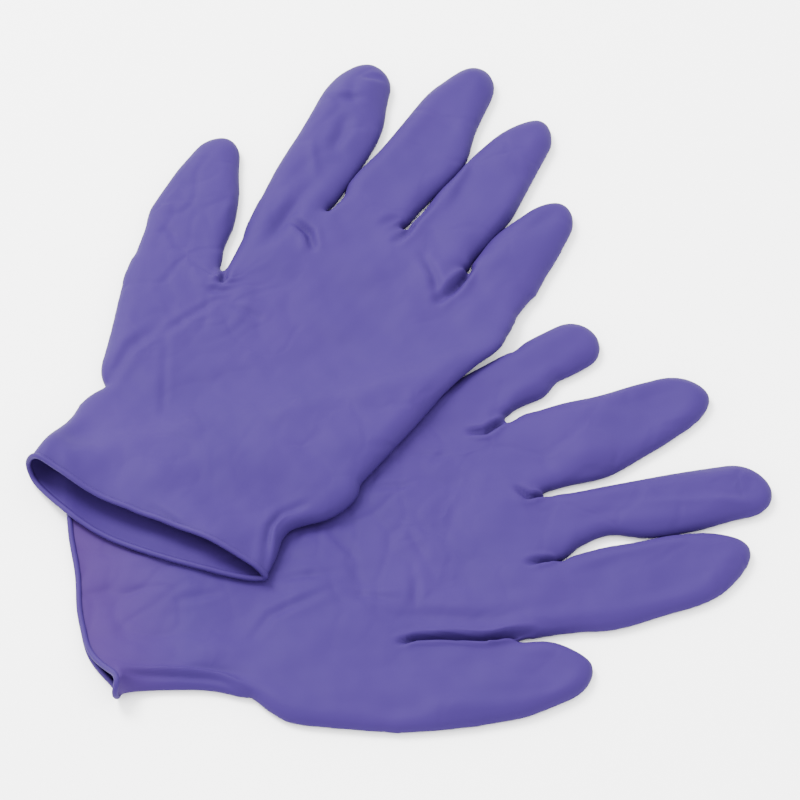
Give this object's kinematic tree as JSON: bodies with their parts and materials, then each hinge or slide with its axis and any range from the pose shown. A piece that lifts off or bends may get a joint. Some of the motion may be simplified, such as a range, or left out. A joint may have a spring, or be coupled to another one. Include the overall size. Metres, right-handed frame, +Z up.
{
  "type": "disposable nitrile glove pair",
  "caption": "Pair of thin violet nitrile examination gloves lying flat, one across the other, with open beaded cuffs and fingers that bend at the root.",
  "frame": {"origin": "middle of the pair's footprint, on the table they lie on", "axes": "+Z up from the table; +X to the right, the way the lower glove's fingers point; +Y the way the upper glove's fingers point, away from the open cuffs"},
  "size_m": [0.2668, 0.306, 0.0197],
  "materials": {
    "lower_film": "satin nitrile film, lightly mottled",
    "upper_film": "satin nitrile film, lightly mottled",
    "lower_bead": "rolled nitrile bead",
    "upper_bead": "rolled nitrile bead"
  },
  "bodies": {
    "lower_glove": {"lower_glove_body": "lower_film", "lower_glove_bead": "lower_bead"},
    "upper_glove": {"upper_glove_body": "upper_film", "upper_glove_bead": "upper_bead"},
    "lower_thumb": {"lower_thumb": "lower_film"},
    "lower_index_finger": {"lower_index_finger": "lower_film"},
    "lower_middle_finger": {"lower_middle_finger": "lower_film"},
    "lower_ring_finger": {"lower_ring_finger": "lower_film"},
    "lower_little_finger": {"lower_little_finger": "lower_film"},
    "upper_thumb": {"upper_thumb": "upper_film"},
    "upper_index_finger": {"upper_index_finger": "upper_film"},
    "upper_middle_finger": {"upper_middle_finger": "upper_film"},
    "upper_ring_finger": {"upper_ring_finger": "upper_film"},
    "upper_little_finger": {"upper_little_finger": "upper_film"}
  },
  "joints": [
    {"name": "upper_glove_lift", "type": "slide", "parent": "lower_glove", "child": "upper_glove", "axis": [0, 0, 1], "range_m": [0, 0.12]},
    {"name": "lower_thumb_bend", "type": "hinge", "parent": "lower_glove", "child": "lower_thumb", "pos_m": [0.00631, -0.13438, 0.007], "axis": [0.0628, -0.998, 0], "range_deg": [0, 90]},
    {"name": "lower_index_finger_bend", "type": "hinge", "parent": "lower_glove", "child": "lower_index_finger", "pos_m": [0.05307, -0.09893, 0.007], "axis": [0.2096, -0.9778, 0], "range_deg": [0, 90]},
    {"name": "lower_middle_finger_bend", "type": "hinge", "parent": "lower_glove", "child": "lower_middle_finger", "pos_m": [0.05387, -0.06888, 0.007], "axis": [0.213, -0.977, 0], "range_deg": [0, 90]},
    {"name": "lower_ring_finger_bend", "type": "hinge", "parent": "lower_glove", "child": "lower_ring_finger", "pos_m": [0.04566, -0.03786, 0.007], "axis": [0.3778, -0.9259, 0], "range_deg": [0, 90]},
    {"name": "lower_little_finger_bend", "type": "hinge", "parent": "lower_glove", "child": "lower_little_finger", "pos_m": [0.04918, 0.00137, 0.007], "axis": [0.565, -0.8251, 0], "range_deg": [0, 90]},
    {"name": "upper_thumb_bend", "type": "hinge", "parent": "upper_glove", "child": "upper_thumb", "pos_m": [-0.0799, 0.05169, 0.01241], "axis": [0.9736, -0.228, 0.0121], "range_deg": [0, 90]},
    {"name": "upper_index_finger_bend", "type": "hinge", "parent": "upper_glove", "child": "upper_index_finger", "pos_m": [-0.03885, 0.07903, 0.01096], "axis": [0.9232, -0.3838, 0.0203], "range_deg": [0, 90]},
    {"name": "upper_middle_finger_bend", "type": "hinge", "parent": "upper_glove", "child": "upper_middle_finger", "pos_m": [-0.00988, 0.07638, 0.0111], "axis": [0.8607, -0.5083, 0.0269], "range_deg": [0, 90]},
    {"name": "upper_ring_finger_bend", "type": "hinge", "parent": "upper_glove", "child": "upper_ring_finger", "pos_m": [0.0157, 0.05983, 0.01198], "axis": [0.8425, -0.538, 0.0284], "range_deg": [0, 90]},
    {"name": "upper_little_finger_bend", "type": "hinge", "parent": "upper_glove", "child": "upper_little_finger", "pos_m": [0.03355, 0.03284, 0.01341], "axis": [0.8572, -0.5143, 0.0272], "range_deg": [0, 90]}
  ]
}
